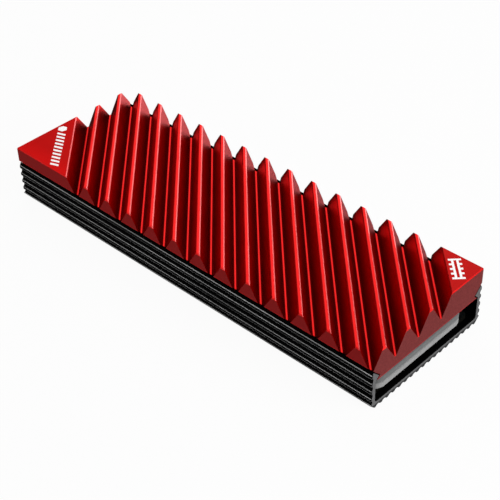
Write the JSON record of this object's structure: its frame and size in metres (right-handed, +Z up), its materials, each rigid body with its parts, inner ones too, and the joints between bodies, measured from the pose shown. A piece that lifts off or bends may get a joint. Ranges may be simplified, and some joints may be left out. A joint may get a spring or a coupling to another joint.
{
  "type": "solid state drive",
  "caption": "M.2 solid state drive in a cooling case: a red finned block slides out of a black fluted channel over grey thermal pads.",
  "frame": {"origin": "under the middle of the whole assembly, card tongue included, on the plane that the fluted case stands on", "axes": "+X along the case towards its open screw end (the card edge connector points to -X), +Z up out of the finned side"},
  "size_m": [0.081, 0.0256, 0.0103],
  "materials": {
    "black_anodised": "black anodised extruded aluminium, fine lengthwise extrusion lines",
    "red_anodised": "satin red anodised machined aluminium",
    "white_print": "white pad-printed ink and white label film",
    "dark_pad": "dark grey silicone thermal pad",
    "light_pad": "light grey soft silicone thermal pad",
    "solder_mask": "matte black solder mask over glass-fibre laminate",
    "gold": "gold-plated copper",
    "solder": "tin solder",
    "package_laminate": "dark green package laminate",
    "moulding": "black moulded epoxy, slightly grainy",
    "ferrite": "dark grey pressed ferrite",
    "tantalum": "ochre moulded body with tinned ends",
    "ceramic": "brown ceramic body with tinned ends",
    "resistor": "black coated ceramic body with tinned ends",
    "crystal_can": "metal lid on a ceramic base"
  },
  "bodies": {
    "base": {"base_channel": "black_anodised"},
    "heatsink": {"fin_block": "red_anodised", "fin_row_print": "white_print", "chip_print": "white_print"},
    "drive": {"boot_flash_chip": "moulding", "ceramic_capacitors": "ceramic", "chip_resistors": "resistor", "circuit_board": "solder_mask", "controller_package": "moulding", "controller_solder_balls": "solder", "controller_substrate": "package_laminate", "crystal": "crystal_can", "edge_contacts_bottom": "gold", "edge_contacts_top": "gold", "flash_package_1": "moulding", "flash_package_2": "moulding", "flash_solder_balls_1": "solder", "flash_solder_balls_2": "solder", "flash_substrate_1": "package_laminate", "flash_substrate_2": "package_laminate", "load_switch": "moulding", "lower_thermal_pad": "light_pad", "memory_package": "moulding", "memory_solder_balls": "solder", "memory_substrate": "package_laminate", "power_chip": "moulding", "power_inductors": "ferrite", "rear_label": "white_print", "screw_land_bottom": "gold", "screw_land_top": "gold", "tantalum_capacitors": "tantalum", "temperature_sensor": "moulding", "upper_thermal_pad": "dark_pad"}
  },
  "joints": [
    {"name": "heatsink_slide", "type": "slide", "parent": "base", "child": "heatsink", "axis": [1, 0, 0], "range_m": [0, 0.078]},
    {"name": "drive_slide", "type": "slide", "parent": "base", "child": "drive", "axis": [-1, 0, 0], "range_m": [0, 0.078]}
  ]
}
